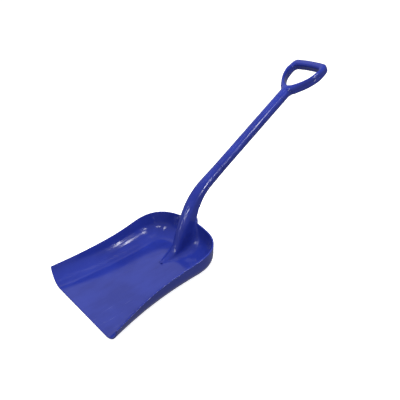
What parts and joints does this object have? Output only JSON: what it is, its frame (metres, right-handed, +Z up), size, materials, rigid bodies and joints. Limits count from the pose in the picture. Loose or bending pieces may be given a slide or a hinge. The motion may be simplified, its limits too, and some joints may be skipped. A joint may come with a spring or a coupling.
{
  "type": "grain scoop shovel",
  "caption": "Deep flared scoop blade with a moulded curved neck, hollow two-shell shaft and D-grip, for shovelling grain and other loose goods.",
  "frame": {"origin": "on the flat underside of the blade, on the centre line, 150 mm behind the cutting edge", "axes": "+X to the right, the cutting edge faces -Y, the handle rises towards +Y, +Z up"},
  "size_m": [0.3768, 0.9074, 0.3733],
  "materials": {
    "blue_gloss": "glossy injection-moulded polypropylene, ultramarine blue",
    "blue_inner": "as-moulded polypropylene, unpolished"
  },
  "bodies": {
    "root": {"blade": "blue_gloss", "neck_rear_cover": "blue_gloss", "shaft_front_shell": "blue_gloss", "shaft_rear_shell": "blue_gloss", "grip_front_shell": "blue_gloss", "grip_rear_shell": "blue_gloss", "neck_spigot": "blue_inner", "grip_spigot": "blue_inner"}
  },
  "joints": []
}
